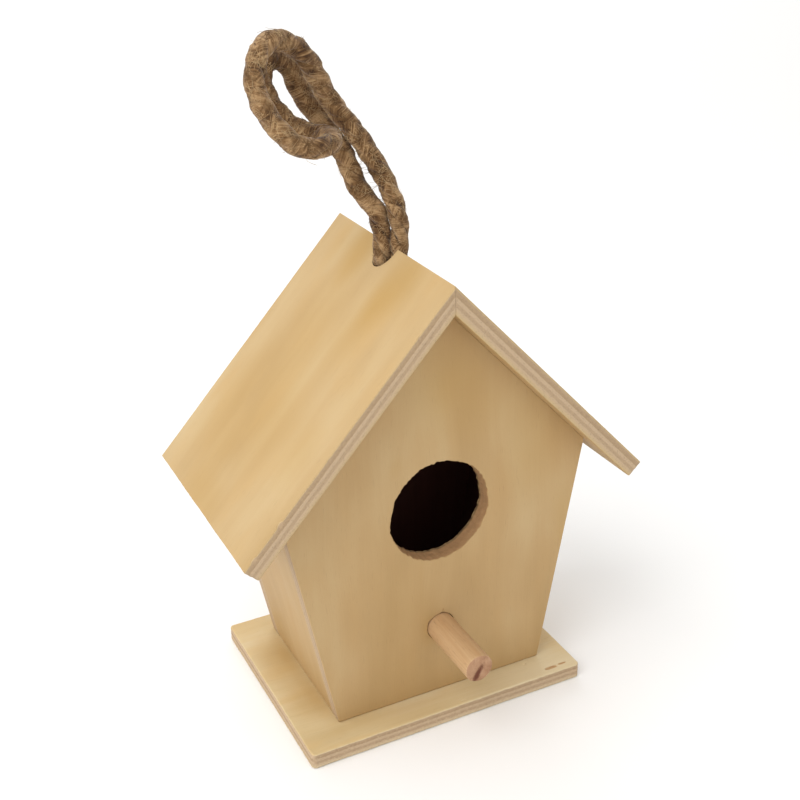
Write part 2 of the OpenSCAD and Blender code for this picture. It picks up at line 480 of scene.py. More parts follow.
def line_mesh(name, line, fullness):
    mesh = bpy.data.meshes.new(name)
    mesh.from_pydata([tuple(p) for p in line], [(i, i + 1) for i in range(len(line) - 1)], [])
    values = np.broadcast_to(fullness, len(line)).astype(float)
    mesh.attributes.new("fullness", "FLOAT", "POINT").data.foreach_set("value", values)
    return mesh


rope = grow("hanging_rope_strands", line_mesh("rope_line", rope_line, rope_fullness), rope_tree,
            {"Diameter": rope_diameter})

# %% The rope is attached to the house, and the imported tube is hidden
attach(rope, "root")
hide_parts("hanging_rope")

# %% [markdown]
# ## Plywood
# Seven pieces are cut from plywood: two face veneers whose grain runs one way, with layers between
# them laid crosswise by turns. A box would give the shape, but a real cut edge is softened by
# sanding, wavers a little, shows its layers and has lost a splinter here and there. So each piece is
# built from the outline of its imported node. The outline is walked in small steps, repeated at many
# depths below the outer face, and pulled in a little at each step.

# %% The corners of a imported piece
# Points nearer than this many millimetres are one, and a turn whose sine is smaller is no corner
SAME_PLACE = 0.05
NEARLY_STRAIGHT = 0.02


def cross(a, b):
    return a[0] * b[1] - a[1] * b[0]


def corners_of(node, axes):
    """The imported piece's outline seen along one axis: its corners, anticlockwise, in millimetres."""
    vertices = frame["nodes"][node].data.vertices
    seen = {tuple(round(vertex.co[axis] / MM, 2) for axis in axes) for vertex in vertices}
    points = [Vector(point) for point in sorted(seen)]
    hull = [np.array(points[i]) for i in convex_hull_2d(points)]
    hull = [here for here, after in zip(hull, hull[1:] + hull[:1])
            if np.linalg.norm(after - here) > SAME_PLACE]
    kept, way = [], 0.0
    for before, here, after in zip(hull[-1:] + hull[:-1], hull, hull[1:] + hull[:1]):
        arriving, leaving = here - before, after - here
        turn = cross(arriving, leaving) / np.linalg.norm(arriving) / np.linalg.norm(leaving)
        way += turn
        if abs(turn) > NEARLY_STRAIGHT:
            kept.append(here)
    return np.array(kept if way > 0 else kept[::-1])


for panel in ("front_panel", "left_roof_panel", "base_panel"):
    print(panel, "has", len(corners_of(panel, (0, 1) if panel == "base_panel" else (0, 2))), "corners")


# %% Walking round an outline
def walk(corners, step=0.6):
    """Points every step millimetres round a closed outline, and the number of the edge each is on."""
    points, edges = [], []
    for number, (here, after) in enumerate(zip(corners, np.roll(corners, -1, axis=0))):
        pieces = max(1, round(np.linalg.norm(after[:2] - here[:2]) / step))
        for part in range(pieces):
            points.append(here + (after - here) * part / pieces)
            edges.append(number)
    return np.array(points), np.array(edges)


def inward_of(loop):
    """At each point of a closed loop, the directions into the wood from the edges it joins."""
    ahead = np.roll(loop, -1, axis=0) - loop
    ahead /= np.linalg.norm(ahead, axis=1, keepdims=True)
    leaving = np.column_stack([-ahead[:, 1], ahead[:, 0]])
    return np.roll(leaving, 1, axis=0), leaving


def pulled(arriving, leaving, far_arriving, far_leaving, sharpest=-0.9, smoothest=0.97):
    """The step that moves the arriving edge and the leaving edge each by its own distance. Beyond
    sharpest a corner's step would shoot off, and past smoothest two edges are taken as one."""
    likeness = np.clip((arriving * leaving).sum(axis=1), sharpest, 1.0)
    straight = likeness > smoothest
    spread = np.where(straight, 1.0, 1 - likeness ** 2)
    corner = (((far_arriving - likeness * far_leaving) / spread)[:, None] * arriving
              + ((far_leaving - likeness * far_arriving) / spread)[:, None] * leaving)
    along_edge = ((far_arriving + far_leaving) / 2)[:, None] * (arriving + leaving) / 2
    return np.where(straight[:, None], along_edge, corner)


def waver(count, knots, chance):
    """Smooth random values between -1 and 1 round a closed loop."""
    values = chance.uniform(-1, 1, max(knots, 3))
    places = np.arange(count) / count * len(values)
    return np.interp(places, np.arange(len(values) + 1), [*values, values[0]])


# %% The layers of the sheet, and how far an edge is pulled in at each depth
# The glue lines between the layers, as shares of the thickness
LAYERS = (0.07, 0.34, 0.52, 0.70)
LAYER_MIDDLES = (0.2, 0.43, 0.61, 0.8)
SUNK_LAYER = 0.045


def row_depths(thickness, softness, under):
    """The depths at which the outline is repeated: close together where the edge is rounded."""
    turn = np.array([0, 0.06, 0.2, 0.5, 1.0])
    seams = [seam * thickness + shift for seam in LAYERS[1:] for shift in (-0.08, 0.08)]
    middles = thickness * np.array(LAYER_MIDDLES)
    return np.unique(np.round([*(softness * turn), *seams, *middles, *(thickness - under * turn)], 4))


def pull_in(depth, thickness, softness, under):
    """How far sanding has rounded the edge, and how far the crosswise layers have sunk."""
    radius, near = (softness, depth) if depth < thickness / 2 else (under, thickness - depth)
    rounding = radius - math.sqrt(max(0.0, radius ** 2 - max(0.0, radius - near) ** 2))
    share = depth / thickness
    crosswise = LAYERS[0] + 0.06 < share < LAYERS[1] or LAYERS[2] < share < LAYERS[3]
    return rounding, SUNK_LAYER if crosswise else 0.0


# %% The wear of one edge
# In millimetres: how far an edge wavers slowly and quickly, and how fuzzy each layer is
SLOW_WAVER = 0.05
QUICK_WAVER = 0.035
FUZZ = 0.018


def torn_away(points, tears, chance):
    """How much deeper a loop is pulled in where a splinter is gone: (along, across, width, bite)."""
    torn = np.zeros(len(points))
    for along, across, width, bite in tears:
        distance = np.hypot(points[:, 0] - along, points[:, 1] - across)
        ragged = chance.uniform(0.75, 1.15, len(points))
        torn += bite * np.clip(1 - (2 * distance / width) ** 2, 0, 1) ** 0.5 * ragged
    return torn


def edge_rows(loop, thickness, softness, under, tears, chance):
    """The loop repeated at every depth: its points, their depth, and how far each faces along."""
    corners, wear, roughness = loop
    points, edges = walk(np.asarray(corners, float))
    count = len(points)
    arriving, leaving = inward_of(points[:, :2])
    facing = np.abs(arriving + leaving)[:, 0] / 2
    worn = np.broadcast_to(np.asarray(wear, float), len(corners))[edges]
    slow = SLOW_WAVER * waver(count, count // 14, chance)
    quick = QUICK_WAVER * waver(count, count // 2, chance)
    torn = torn_away(points, tears, chance)
    rows = []
    for depth in row_depths(thickness, softness, under):
        rounding, sunk = pull_in(depth, thickness, softness, under)
        fuzz = chance.uniform(-FUZZ, FUZZ, count)
        veneer = np.clip(1.6 - depth / (0.10 * thickness), 0, 1)
        uneven = roughness * (slow + quick + fuzz + SLOW_WAVER)
        far = [edge_wear * (rounding + sunk) + np.minimum(edge_wear, 1.0) * uneven + torn * veneer
               for edge_wear in (np.roll(worn, 1), worn)]
        flat = points[:, :2] + pulled(arriving, leaving, *far)
        flat[:, 0] += points[:, 2] * depth
        rows.append((flat, np.full(count, depth), facing))
    return rows


def chip_rows(place_along, place_across, length, width, depth, chance, sides=40):
    """A chip is a small torn pit in the outer face, longer along the grain than across it."""
    turn = np.linspace(0, -2 * math.pi, sides, endpoint=False)
    ragged = 1 + 0.12 * waver(sides, 13, chance)
    rows = []
    for share, sink in ((1.0, 0.0), (0.93, 0.45), (0.70, 1.0)):
        flat = np.column_stack([place_along + share * ragged * length / 2 * np.cos(turn),
                                place_across + share * ragged * width / 2 * np.sin(turn)])
        rows.append((flat, sink * depth * (1 + 0.2 * waver(sides, 12, chance)), np.zeros(sides)))
    return rows


# %% Building a slab of plywood
def filled(sheet, borders, way):
    """Triangles that fill the first border and leave the others open, all facing one way."""
    numbers = np.concatenate(borders)
    flat = [[Vector((*sheet[i, :2], 0)) for i in border] for border in borders]
    faces = []
    for corner_numbers in tessellate_polygon(flat):
        a, b, c = (int(numbers[i]) for i in corner_numbers)
        turn = cross(sheet[b] - sheet[a], sheet[c] - sheet[a])
        faces.append((a, b, c) if turn * way > 0 else (a, c, b))
    return faces


def slab(name, origin, along, outward, loops, thickness, seed, softness=0.42, under=0.42,
         tears=(), chips=()):
    """loops: (corners, wear of each edge, roughness). A corner is along, across, and slant: how far
    it moves along for each millimetre of depth. The first loop is the outline, the others holes.
    softness and under: how far the outer and the inner edges are rounded."""
    chance = np.random.default_rng(seed)
    across = np.cross(outward, along)
    sheet, end_grain, sawn, sides = [], [], [], []
    outer_face, inner_face, pits = [], [], []

    def add_rows(rows, is_sawn):
        """Each row is a loop of points at its depths, and the next row is joined on below it."""
        first = len(sheet)
        count = len(rows[0][0])
        for flat, depth, faced in rows:
            sheet.extend(np.column_stack([flat, depth]))
            end_grain.extend(faced)
            sawn.extend([is_sawn] * count)
        for row in range(len(rows) - 1):
            a = first + row * count + np.arange(count)
            b = first + row * count + np.roll(np.arange(count), -1)
            sides.extend(zip(a.tolist(), (a + count).tolist(), (b + count).tolist(), b.tolist()))
        return np.arange(first, first + count), np.arange(first + (len(rows) - 1) * count, len(sheet))

    for number, loop in enumerate(loops):
        top, bottom = add_rows(edge_rows(loop, thickness, softness, under, tears, chance), float(number > 0))
        outer_face.append(top)
        inner_face.append(bottom)
    for chip in chips:
        top, bottom = add_rows(chip_rows(*chip, chance), 1.0)
        outer_face.append(top)
        pits.append(([bottom], 1))

    sheet = np.array(sheet)
    flat_faces = [face for borders, way in (*pits, (outer_face, 1), (inner_face, -1))
                  for face in filled(sheet, borders, way)]
    places = np.array(origin) + MM * (sheet[:, :1] * along + sheet[:, 1:2] * across - sheet[:, 2:] * outward)

    mesh = bpy.data.meshes.new(name)
    mesh.from_pydata(places.tolist(), [], sides + flat_faces)
    smooth = np.arange(len(mesh.polygons)) < len(sides)
    mesh.polygons.foreach_set("use_smooth", smooth)
    mesh.attributes.new("sheet", "FLOAT_VECTOR", "POINT").data.foreach_set("vector", sheet.ravel())
    for label, values in (("end_grain", end_grain), ("sawn", sawn)):
        mesh.attributes.new(label, "FLOAT", "POINT").data.foreach_set("value", np.array(values))
    mesh.update()
    print(f"{name}: {len(mesh.polygons)} faces")
    return add_object(name, mesh)


# %% [markdown]
# ## The finish of the plywood
# Pale veneer has three scales of pattern: hair-fine fibres, soft streaks a few millimetres wide, and
# broad warm patches. On a cut edge the layers show instead: long grain is light, and end grain is
# darker and speckled. An image of wood would repeat and couldn't turn the corner, so the pattern is
# worked out in the sheet's own millimetres: along the grain, across it, and down through the layers.

# %% Parts of a wood pattern
# Of a cut edge: long grain, the layer beside it, and end grain. Sawdust browns the wall of a hole
cut_tones = ((0.52, 0.38, 0.245), (0.445, 0.315, 0.195), (0.385, 0.265, 0.155))
sawn_brown = (0.46, 0.25, 0.108)


def shares(tree, vector):
    return put(tree, "ShaderNodeSeparateXYZ", {0: vector}).outputs


def stain_and_shade_mask(tree, place, edge_noise, stains_and_shade):
    """A soft patch for each (along, across, length, width, lean, strength), all added together.
    The patches are golden; on the front those high up are partly painted shade under the roof.
    """
    total = None
    for along, across, length, width, lean, strength in stains_and_shade:
        moved = vector_math(tree, "SUBTRACT", place, (along, across, 0))
        turned = put(tree, "ShaderNodeVectorRotate", {"Vector": moved, "Angle": math.radians(lean)},
                     rotation_type="Z_AXIS").outputs[0]
        squeezed = vector_math(tree, "MULTIPLY", turned, (2 / length, 2 / width, 0))
        ragged = math_node(tree, "MULTIPLY_ADD", edge_noise, 0.7, length_node(tree, squeezed))
        stain_and_shade_patch = math_node(tree, "MULTIPLY", fade(tree, ragged, 1.65, 0.15), strength)
        total = stain_and_shade_patch if total is None else math_node(tree, "ADD", total, stain_and_shade_patch)
    return total


# %% The plywood's material
def plywood(name, tones, warm, thickness, seed, stains_and_shade=(), inside_shade=None, warm_share=0.5, streaky=0.6,
            golden=(0.45, 0.275, 0.085)):
    """tones: dark, middle and light veneer. warm: the orange of the broad patches, and warm_share how
    strong they are. streaky: how much of the pattern is fibres and streaks. golden: the tone of the
    stained patches, which on the front are partly painted shade under the roof. inside_shade: painted
    shade, a dark tone for the inner faces, which only show through the entry hole."""
    material, tree, shader = new_material(name)
    sheet = attribute(tree, "sheet", "Vector")
    depth = shares(tree, sheet)["Z"]
    waviness = patchy(tree, sheet, (0.018, 0.05, 0.02), seed + 1, detail=1.0)
    drift = math_node(tree, "MULTIPLY", waviness, 9.0)
    place = vector_math(tree, "ADD", sheet, put(tree, "ShaderNodeCombineXYZ", {1: drift}).outputs[0])
    fibres = patchy(tree, place, (0.05, 2.6, 2.6), seed + 2, detail=4.0, roughness=0.6)
    streaks = patchy(tree, place, (0.018, 0.34, 0.3), seed + 3, detail=3.0)
    broad = patchy(tree, place, (0.016, 0.040, 0.0), seed + 4, detail=2.0)
    hairs = patchy(tree, place, (0.22, 5.5, 5.5), seed + 5, detail=1.0)

    mixed = math_node(tree, "MULTIPLY", fibres, 0.28 * streaky)
    mixed = math_node(tree, "MULTIPLY_ADD", streaks, 0.24 * streaky, mixed)
    mixed = math_node(tree, "MULTIPLY_ADD", broad, 1 - 0.52 * streaky, mixed)
    dark, middle, light = tones
    face = ramp(tree, mixed, [(0.36, dark), (0.50, middle), (0.64, light)])
    patches_at = patchy(tree, place, (0.030, 0.075, 0.0), seed + 6, detail=4.0)
    patches = math_node(tree, "MULTIPLY", fade(tree, patches_at, 0.46, 0.72), warm_share)
    face = blend_tones(tree, patches, face, warm)
    pores = math_node(tree, "MULTIPLY", fade(tree, hairs, 0.66, 0.80), 0.30)
    face = blend_tones(tree, pores, face, toned(0.45, dark))
    # Golden stains darken the face; on the front the patches high up are partly painted shade under the roof
    if stains_and_shade:
        stain_and_shade_patch = stain_and_shade_mask(tree, sheet, math_node(tree, "SUBTRACT", patches_at, 0.5), stains_and_shade)
        face = blend_tones(tree, math_node(tree, "MINIMUM", stain_and_shade_patch, 0.9), face, golden)

    # The layers that a cut edge shows, once for an edge along the grain and once for one across it
    wobble = math_node(tree, "MULTIPLY_ADD", patchy(tree, sheet, (0.25, 0.25, 0.0), seed + 7), 0.34, depth)
    level = math_node(tree, "DIVIDE", math_node(tree, "SUBTRACT", wobble, 0.17), thickness)
    pale, tan, brown = cut_tones
    a, b, c, d = LAYERS
    gap = 0.02
    long_edge = [(0, light), (a, light), (a + gap, tan), (b - gap, brown), (b + gap, pale),
                 (c - gap, pale), (c + gap, tan), (d - gap, tan), (d + gap, pale), (1, light)]
    short_edge = [(0, middle), (a, tan), (a + gap, pale), (b - gap, pale), (b + gap, brown),
                  (c - gap, brown), (c + gap, pale), (d - gap, pale), (d + gap, tan), (1, middle)]
    cut = blend_tones(tree, attribute(tree, "end_grain"), ramp(tree, level, long_edge),
                      ramp(tree, level, short_edge))
    specks = patchy(tree, sheet, (1.5, 1.5, 2.2), seed + 8, detail=3.0, roughness=0.65)
    cut = blend_tones(tree, math_node(tree, "MULTIPLY", fade(tree, specks, 0.50, 0.72), 0.40), cut,
                      toned(0.60, brown))
    saw = attribute(tree, "sawn")
    cut = blend_tones(tree, math_node(tree, "MULTIPLY", saw, 0.85), cut, sawn_brown)
    cut = blend_tones(tree, math_node(tree, "MULTIPLY", fade(tree, specks, 0.46, 0.30), 0.35), cut, light)

    under = math_node(tree, "SUBTRACT", thickness, depth)
    # Painted shade: the inner faces, seen only through the entry hole, get a dark tone
    if inside_shade:
        inner_shade_tone = blend_tones(tree, streaks, inside_shade, toned(1.5, inside_shade))
        face = blend_tones(tree, fade(tree, under, 0.02, 0.005), face, inner_shade_tone)
        # Painted shade: a hole's wall darkens towards the inner face, where the light fades
        hole_wall_shade = math_node(tree, "MULTIPLY", fade(tree, under, 1.1, 0.2), saw)
        cut = blend_tones(tree, hole_wall_shade, cut, toned(0.35, brown))
    buried = math_node(tree, "MULTIPLY", fade(tree, depth, 0.16, 0.34), fade(tree, under, 0.16, 0.34))
    tree.links.new(blend_tones(tree, buried, face, cut), shader.inputs["Base Color"])

    grain_height = math_node(tree, "MULTIPLY_ADD", specks, buried, fibres)
    bump = put(tree, "ShaderNodeBump", {"Height": grain_height, "Strength": 0.35, "Distance": 0.00012})
    tree.links.new(bump.outputs[0], shader.inputs["Normal"])
    polish = put(tree, "ShaderNodeMapRange", {"Value": fibres, "To Min": 0.50, "To Max": 0.72}).outputs[0]
    tree.links.new(math_node(tree, "MULTIPLY_ADD", buried, 0.2, polish), shader.inputs["Roughness"])
    shader.inputs["Specular IOR Level"].default_value = 0.35
    print(f"{name}: {len(tree.nodes)} nodes")
    return material


# %% The tones of the veneers
roof_tones = ((0.45, 0.298, 0.130), (0.50, 0.345, 0.166), (0.54, 0.395, 0.208))
wall_tones = ((0.432, 0.278, 0.118), (0.48, 0.317, 0.145), (0.52, 0.366, 0.184))
roof_warm = (0.52, 0.335, 0.138)
wall_warm = (0.48, 0.30, 0.125)
base_tones = ((0.565, 0.43, 0.230), (0.625, 0.495, 0.282), (0.665, 0.545, 0.345))
base_warm = (0.62, 0.42, 0.18)
# Painted shade: the dark tone of the inner faces, which only show through the entry hole
painted_inside_shade = (0.075, 0.026, 0.018)
print("middle tones of roof, walls and base:", roof_tones[1], wall_tones[1], base_tones[1])

# %% [markdown]
# ## The roof
# Two equal panels meet in a mitre at the ridge, with a notch in each for the rope. Their grain runs
# down the slope. Each is a slab whose ridge edge slants with depth, which is what a mitre is. The
# front edge of the left one has lost two splinters near the eave, and all edges a few slivers.

# %% A panel that runs from front to back
def running_slab(name, node, outer_start, outer_end, inner_start, inner_end, wear, seed,
                 notch=None, roughness=1.0, **more):
    """The start and end lines of the outer and inner faces are seen from the front, in millimetres."""
    low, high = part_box(node)
    run = np.array([outer_end[0] - outer_start[0], 0, outer_end[1] - outer_start[1]])
    length = np.linalg.norm(run)
    along = run / length
    side = math.copysign(1, outer_start[0] + outer_end[0])
    outward = side * np.array([along[2], 0, -along[0]])
    if outward[0] * side < 0:
        outward = -outward
    across_way = np.cross(outward, along)[1]
    thick = abs(np.dot([inner_end[0] - outer_end[0], 0, inner_end[1] - outer_end[1]], outward))

    def slant(inner, outer):
        return np.dot([inner[0] - outer[0], 0, inner[1] - outer[1]], along) / thick

    start, end = slant(inner_start, outer_start), slant(inner_end, outer_end)
    left, right = sorted((across_way * low.y / MM, across_way * high.y / MM))
    corners = [(length, left, end), (length, right, end), (0, right, start)]
    wears = list(wear[:3])
    if notch:
        middle, reach, radius = across_way * notch[0], notch[1], notch[2]
        for turn in np.radians(np.linspace(90, -90, 25)):
            corners.append((reach * math.cos(turn), middle + radius * math.sin(turn), start))
            wears.append(wear[2])
    corners.append((0, left, start))
    wears.append(wear[3])
    origin = MM * np.array([outer_start[0], 0, outer_start[1]])
    piece = slab(name, origin, along, outward, [(corners, wears, roughness)], thick, seed, **more)
    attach(piece, "root")
    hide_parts(node)
    return piece, thick


# %% The two roof panels
def roof_lines(node):
    corners = sorted(corners_of(node, (0, 2)).tolist(), key=lambda corner: abs(corner[0]))
    ridge_inner, ridge_outer = sorted(corners[:2], key=lambda corner: corner[1])
    eave_inner, eave_outer = sorted(corners[2:], key=lambda corner: abs(corner[0]))
    return ridge_outer, eave_outer, ridge_inner, eave_inner


def ridge_notch(node):
    """The middle of the notch from front to back, its reach down the slope, and its half width."""
    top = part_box(node)[1].z
    places = sorted({round(v.co.y / MM, 2) for v in frame["nodes"][node].data.vertices
                     if v.co.z > top - 0.00002})
    radius = (places[-2] - places[1]) / 2
    ridge, eave = roof_lines(node)[:2]
    pitch = math.atan2(ridge[1] - eave[1], abs(eave[0]))
    return (places[-2] + places[1]) / 2, radius / math.cos(pitch), radius


# Tears are (along, across, width, bite). Stains are (along, across, length, width, lean, strength);
# on the front the broad patches high up are partly painted shade under the roof
left_tears = [(83.2, 40, 2.6, 1.0), (96.0, 40, 2.2, 0.9), (60.0, 40, 1.6, 0.3), (17.0, 40, 1.4, 0.3)]
left_stains = [(4, -15, 24, 13, 0, 0.75), (11, 15, 26, 17, 10, 0.70), (27, 12, 26, 14, 5, 0.38),
               (40, -8, 46, 24, -12, 0.32), (70, -24, 38, 15, 0, 0.36), (66, 4, 30, 34, -8, 0.34),
               (66, 27, 20, 12, 0, 0.30), (84, -12, 26, 14, 0, 0.28), (98, -2, 16, 24, 0, 0.36),
               (8, -28, 16, 8, 0, 0.22)]
right_tears = [(31.0, -40, 1.6, 0.35), (70.0, -40, 2.4, 0.5), (88.0, 40, 2.0, 0.6)]
right_stains = [(60, 12, 50, 20, 8, 0.35), (22, -20, 30, 14, -6, 0.35), (84, -18, 26, 18, 0, 0.28)]
roof_panels = (("left_roof_panel", 11, left_tears, left_stains),
               ("right_roof_panel", 23, right_tears, right_stains))
for node, seed, tears, stains_and_shade in roof_panels:
    panel, thick = running_slab(node.replace("panel", "plywood"), node, *roof_lines(node),
                                wear=(1, 1, 0.12, 1), seed=seed, notch=ridge_notch(node), tears=tears)
    veneer_name = node.replace("panel", "veneer")
    veneer = plywood(veneer_name, roof_tones, roof_warm, thick, seed, stains_and_shade, streaky=0.38)
    panel.data.materials.append(veneer)

# %% [markdown]
# ## The walls
# The two side walls lean outwards and stand between the front and the back. The front has the round
# entry hole and the hole for the perch. Sawing tore both rims a little, so the rims waver and one
# short splinter still hangs at the top of the entry. The faces within the house get a dark tone,
# painted shade, so that it looks black through the entry.

# %% The side walls
def wall_lines(node):
    corners = sorted(corners_of(node, (0, 2)).tolist(), key=lambda corner: corner[1])
    foot_inner, foot_outer = sorted(corners[:2], key=lambda corner: abs(corner[0]))
    top_inner, top_outer = sorted(corners[2:], key=lambda corner: abs(corner[0]))
    return foot_outer, top_outer, foot_inner, top_inner


for node, seed in (("left_side_panel", 31), ("right_side_panel", 37)):
    panel, thick = running_slab(node.replace("panel", "plywood"), node, *wall_lines(node),
                                wear=(0.1, 0.1, 1.3, 0.1), seed=seed, roughness=0.15)
    veneer_name = node.replace("panel", "veneer")
    veneer = plywood(veneer_name, wall_tones, wall_warm, thick, seed, inside_shade=painted_inside_shade)
    panel.data.materials.append(veneer)


# %% The front and the back
def hole_loop(along, across, radius, count):
    """A hole goes round the other way from the outline."""
    turn = np.linspace(0, -2 * math.pi, count, endpoint=False)
    around = along + radius * np.cos(turn), across + radius * np.sin(turn)
    return np.column_stack([*around, np.zeros(count)])


entry = next(mount for mount in frame["record"]["mounts"] if mount["name"] == "entry_hole")
print("entry hole:", entry["dims"]["r_mm"], "mm in radius")
perch_low, perch_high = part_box("perch_dowel")
perch_radius = (perch_high.x - perch_low.x) / 2 / MM
perch_height = (perch_high.z + perch_low.z) / 2 / MM
front_low, front_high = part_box("front_panel")
foot = front_low.z / MM
front_corners = corners_of("front_panel", (0, 2))
# Seen from the front, along is up and across runs from right to left
front_outline = [(z - foot, -x, 0) for x, z in front_corners]
entry_height = entry["pos_m"][2] / MM - foot
entry_hole = hole_loop(entry_height, 0, entry["dims"]["r_mm"], 260)
perch_gap = 0.1
perch_up = perch_height - foot
perch_hole = hole_loop(perch_up, 0, perch_radius + perch_gap, 60)
front_thick = (front_high.y - front_low.y) / MM


def gable_wear(outline):
    """The foot is worn most; the other edges a little."""
    edges = zip(outline, outline[1:] + outline[:1])
    return [1.5 if max(here[0], after[0]) < 1 else 0.2 for here, after in edges]


rim_tears = [(entry_height + 16.9, 0.9, 1.3, 0.30), (entry_height + 16.8, 2.1, 0.9, -0.45),
             (entry_height + 15.9, 6.0, 2.6, 0.20), (entry_height + 7.5, 15.2, 2.6, 0.20),
             (entry_height - 2.0, 16.9, 2.0, 0.16), (entry_height - 9, -14.4, 2.6, 0.15),
             (perch_up + 4.9, -0.6, 2.2, 0.35), (perch_up + 2.6, 4.2, 2.6, 0.35)]
front_loops = [(front_outline, gable_wear(front_outline), 0.8), (entry_hole, 0.7, 8.0),
               (perch_hole, 0.5, 1.0)]
upwards = np.array([0, 0, 1.0])
front = slab("front_plywood", (0, front_low.y, front_low.z), upwards, np.array([0, -1.0, 0]),
             front_loops, front_thick, 41, under=0.12, tears=rim_tears,
             chips=[(perch_up + 6.1, -0.9, 1.4, 0.4, 0.25)])
# Golden stains. The broad patches high on the front are partly painted shade: they darken the top under the
# roof
front_stains_and_roof_shade = [(perch_height + 88, -1, 24, 26, 0, 0.34), (perch_height + 20, -48, 30, 9, -10, 0.30),
                (104, -10, 26, 40, 0, 0.30), (84, -34, 34, 22, 0, 0.32), (88, 15, 7, 4, 20, 0.16),
                (24, 14, 40, 20, 0, 0.12), (48, 7, 16, 1.4, 0, 0.10),
                (perch_up - 1, 4.5, 10, 6, 0, 0.30)]
front.data.materials.append(plywood("front_veneer", wall_tones, wall_warm, front_thick, 41, front_stains_and_roof_shade,
                                    inside_shade=painted_inside_shade, warm_share=0.35, streaky=0.42))

back_low, back_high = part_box("back_panel")
back_outline = [(z - foot, x, 0) for x, z in corners_of("back_panel", (0, 2))][::-1]
back = slab("back_plywood", (0, back_high.y, back_low.z), upwards, np.array([0, 1.0, 0]),
            [(back_outline, gable_wear(back_outline), 0.8)], front_thick, 43, under=0.12)
back_veneer = plywood("back_veneer", wall_tones, wall_warm, front_thick, 43, inside_shade=painted_inside_shade)
back.data.materials.append(back_veneer)
for panel, node in ((front, "front_panel"), (back, "back_panel")):
    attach(panel, "root")
    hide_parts(node)

# %% [markdown]
# ## The base
# The base is a plate with softened corners. Its grain runs from side to side. It is tinted golden
# and darker in soft patches beside the left wall's foot and along the front's foot, and four
# splinters are gone near its front edge.

# %% The base plate
base_low, base_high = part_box("base_panel")
base_thick = (base_high.z - base_low.z) / MM
base_outline = [(x, y, 0) for x, y in corners_of("base_panel", (0, 1))]
base = slab("base_plywood", (0, 0, base_high.z), np.array([1.0, 0, 0]), np.array([0, 0, 1.0]),
            [(base_outline, 1.1, 1.3)], base_thick, 53, softness=0.5,
            chips=[(38.4, -37.2, 5.6, 1.7, 0.4), (43.0, -36.9, 3.6, 1.2, 0.35), (31.6, -31.6, 1.3, 0.5, 0.2),
                   (3.4, -38.3, 2.0, 0.4, 0.15)])
# Golden patches, darker beside the foot of the left wall and along the foot of the front
base_golden_patches = [(-43, 12, 13, 22, 0, 0.52), (-42, -13, 13, 18, 0, 0.40), (-39, 0, 6, 62, 0, 0.22),
               (-22, -33, 46, 5, 0, 0.25), (-16, -37, 30, 4, 0, 0.12)]
base.data.materials.append(plywood("base_veneer", base_tones, base_warm, base_thick, 53, base_golden_patches))
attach(base, "root")
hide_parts("base_panel")

# %% [markdown]
# ## The perch
# The perch is a short length of hardwood dowel, cut with a fine saw and pushed into its hole. It is
# turned on a lathe, so rings of points on its axis are the natural way to make it. The rings waver
# a little, the cut end is softened and slightly rough, and its grain runs along the dowel, so the
# same solid pattern gives streaks on the side and growth rings on the end.

# %% Turning the dowel
def turned(name, centre_x, centre_z, rings, seed, sides=84):
    """rings: (y, radius, how much it wavers), in millimetres, from the back end to the cut end."""
    chance = np.random.default_rng(seed)
    angle = np.linspace(0, 2 * math.pi, sides, endpoint=False)
    flats = waver(sides, 9, chance)
    points, faces = [(centre_x, rings[0][0], centre_z)], []
    for y, radius, wavers in rings:
        r = radius + wavers * (0.5 * flats + 0.5 * waver(sides, 30, chance))
        ys = y + 0.6 * wavers * waver(sides, 24, chance)
        points += list(zip(centre_x + r * np.cos(angle), ys, centre_z + r * np.sin(angle)))
    points.append((centre_x, rings[-1][0], centre_z))
    for k in range(sides):
        after = (k + 1) % sides
        faces.append((0, 1 + k, 1 + after))
        for row in range(len(rings) - 1):
            a = 1 + row * sides
            faces.append((a + k, a + sides + k, a + sides + after, a + after))
        last = 1 + (len(rings) - 1) * sides
        faces.append((last + k, len(points) - 1, last + after))
    mesh = bpy.data.meshes.new(name)
    mesh.from_pydata([tuple(MM * part for part in point) for point in points], [], faces)
    mesh.polygons.foreach_set("use_smooth", [True] * len(faces))
    mesh.update()
    print(f"{name}: {len(faces)} faces")
    return add_object(name, mesh)


back_y, tip_y = perch_high.y / MM, perch_low.y / MM
rings = [(back_y, perch_radius - 0.5, 0.02), (back_y - 0.4, perch_radius, 0.03)]
rings += [(y, perch_radius - 0.02, 0.05) for y in np.arange(back_y - 2, tip_y + 1.2, -1.5)]
rings += [(tip_y + 0.62, perch_radius - 0.03, 0.05), (tip_y + 0.30, perch_radius - 0.10, 0.05),
          (tip_y + 0.12, perch_radius - 0.26, 0.06), (tip_y + 0.06, perch_radius - 0.50, 0.05)]
rings += [(tip_y + 0.07, perch_radius * share, 0.07) for share in (0.8, 0.65, 0.5, 0.35, 0.2, 0.08)]
perch = turned("perch_turned_dowel", 0, perch_height, rings, 61)


